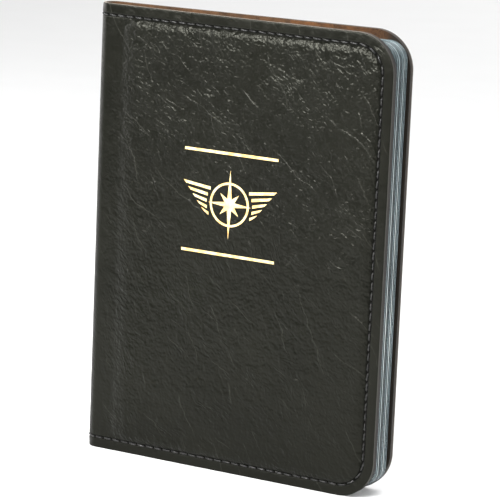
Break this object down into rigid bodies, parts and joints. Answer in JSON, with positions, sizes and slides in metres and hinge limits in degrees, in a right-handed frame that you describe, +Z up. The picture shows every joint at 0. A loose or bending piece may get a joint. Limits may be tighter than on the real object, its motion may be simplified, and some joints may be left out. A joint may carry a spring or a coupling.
{
  "type": "flight crew licence holder",
  "caption": "Black padded leather licence holder that opens like a book, with a rounded spine, a sewn edge, gold foil on the front cover and clear welded pocket leaves.",
  "frame": {"origin": "centre of the closed holder's bounding box, at the level of the bottom edges that it stands on", "axes": "+Z up along the spine, +X from the spine to the fore-edge and parallel to the rear cover, -Y out of the front cover"},
  "size_m": [0.1201, 0.0182, 0.165],
  "materials": {
    "black_leather": "semi-gloss, fine grain",
    "brown_lining": "matte, split leather",
    "board": "matte",
    "foam": "matte",
    "black_thread": "waxed",
    "brown_thread": "waxed",
    "gold_foil": "stamped, bright",
    "clear_pvc": "clear, glossy"
  },
  "bodies": {
    "rear_cover": {"rear_leather": "black_leather", "rear_board": "board", "rear_foam_pad": "foam", "rear_lining": "brown_lining", "rear_pocket_flap": "brown_lining", "rear_stitching": "black_thread", "rear_bobbin_stitching": "brown_thread", "insert_rear_tuck_leaf": "clear_pvc"},
    "spine": {"spine_leather": "black_leather", "spine_lining": "brown_lining", "spine_stitching": "black_thread", "spine_bobbin_stitching": "brown_thread", "insert_spine_weld": "clear_pvc"},
    "front_cover": {"front_leather": "black_leather", "front_board": "board", "front_foam_pad": "foam", "front_lining": "brown_lining", "front_pocket_flap": "brown_lining", "front_stitching": "black_thread", "front_bobbin_stitching": "brown_thread", "foil_rule_upper": "gold_foil", "foil_rule_lower": "gold_foil", "foil_emblem": "gold_foil", "insert_front_tuck_leaf": "clear_pvc"},
    "leaf_1": {"leaf_1_base_film": "clear_pvc", "leaf_1_pocket_film": "clear_pvc"},
    "leaf_2": {"leaf_2_base_film": "clear_pvc", "leaf_2_pocket_film": "clear_pvc"},
    "leaf_3": {"leaf_3_base_film": "clear_pvc", "leaf_3_pocket_film": "clear_pvc"},
    "leaf_4": {"leaf_4_base_film": "clear_pvc", "leaf_4_pocket_film": "clear_pvc"},
    "leaf_5": {"leaf_5_base_film": "clear_pvc", "leaf_5_pocket_film": "clear_pvc"},
    "leaf_6": {"leaf_6_base_film": "clear_pvc", "leaf_6_pocket_film": "clear_pvc"},
    "leaf_7": {"leaf_7_base_film": "clear_pvc", "leaf_7_pocket_film": "clear_pvc"},
    "leaf_8": {"leaf_8_base_film": "clear_pvc", "leaf_8_pocket_film": "clear_pvc"}
  },
  "joints": [
    {"name": "rear_fold", "type": "hinge", "parent": "rear_cover", "child": "spine", "pos_m": [-0.05863, 0.00689, 0.0825], "axis": [0, 0, -1], "range_deg": [0, 88]},
    {"name": "front_fold", "type": "hinge", "parent": "spine", "child": "front_cover", "pos_m": [-0.05884, 0.00082, 0.0825], "axis": [0, 0, -1], "range_deg": [0, 88]},
    {"name": "leaf_1_turn", "type": "hinge", "parent": "spine", "child": "leaf_1", "pos_m": [-0.0554, 0.00374, 0.0825], "axis": [0, 0, -1], "range_deg": [0, 84.49]},
    {"name": "leaf_2_turn", "type": "hinge", "parent": "spine", "child": "leaf_2", "pos_m": [-0.0554, 0.00374, 0.0825], "axis": [0, 0, -1], "range_deg": [0, 79.21]},
    {"name": "leaf_3_turn", "type": "hinge", "parent": "spine", "child": "leaf_3", "pos_m": [-0.0554, 0.00374, 0.0825], "axis": [0, 0, -1], "range_deg": [0, 73.05]},
    {"name": "leaf_4_turn", "type": "hinge", "parent": "spine", "child": "leaf_4", "pos_m": [-0.0554, 0.00374, 0.0825], "axis": [0, 0, -1], "range_deg": [0, 67.77]},
    {"name": "leaf_5_turn", "type": "hinge", "parent": "spine", "child": "leaf_5", "pos_m": [-0.0554, 0.00374, 0.0825], "axis": [0, 0, 1], "range_deg": [0, 67.77]},
    {"name": "leaf_6_turn", "type": "hinge", "parent": "spine", "child": "leaf_6", "pos_m": [-0.0554, 0.00374, 0.0825], "axis": [0, 0, 1], "range_deg": [0, 73.05]},
    {"name": "leaf_7_turn", "type": "hinge", "parent": "spine", "child": "leaf_7", "pos_m": [-0.0554, 0.00374, 0.0825], "axis": [0, 0, 1], "range_deg": [0, 79.21]},
    {"name": "leaf_8_turn", "type": "hinge", "parent": "spine", "child": "leaf_8", "pos_m": [-0.0554, 0.00374, 0.0825], "axis": [0, 0, 1], "range_deg": [0, 84.49]}
  ],
  "couplings": [
    {"joint": "leaf_1_turn", "follows": "front_fold", "ratio": 0.96},
    {"joint": "leaf_2_turn", "follows": "front_fold", "ratio": 0.9},
    {"joint": "leaf_3_turn", "follows": "front_fold", "ratio": 0.83},
    {"joint": "leaf_4_turn", "follows": "front_fold", "ratio": 0.77},
    {"joint": "leaf_5_turn", "follows": "rear_fold", "ratio": 0.77},
    {"joint": "leaf_6_turn", "follows": "rear_fold", "ratio": 0.83},
    {"joint": "leaf_7_turn", "follows": "rear_fold", "ratio": 0.9},
    {"joint": "leaf_8_turn", "follows": "rear_fold", "ratio": 0.96}
  ]
}
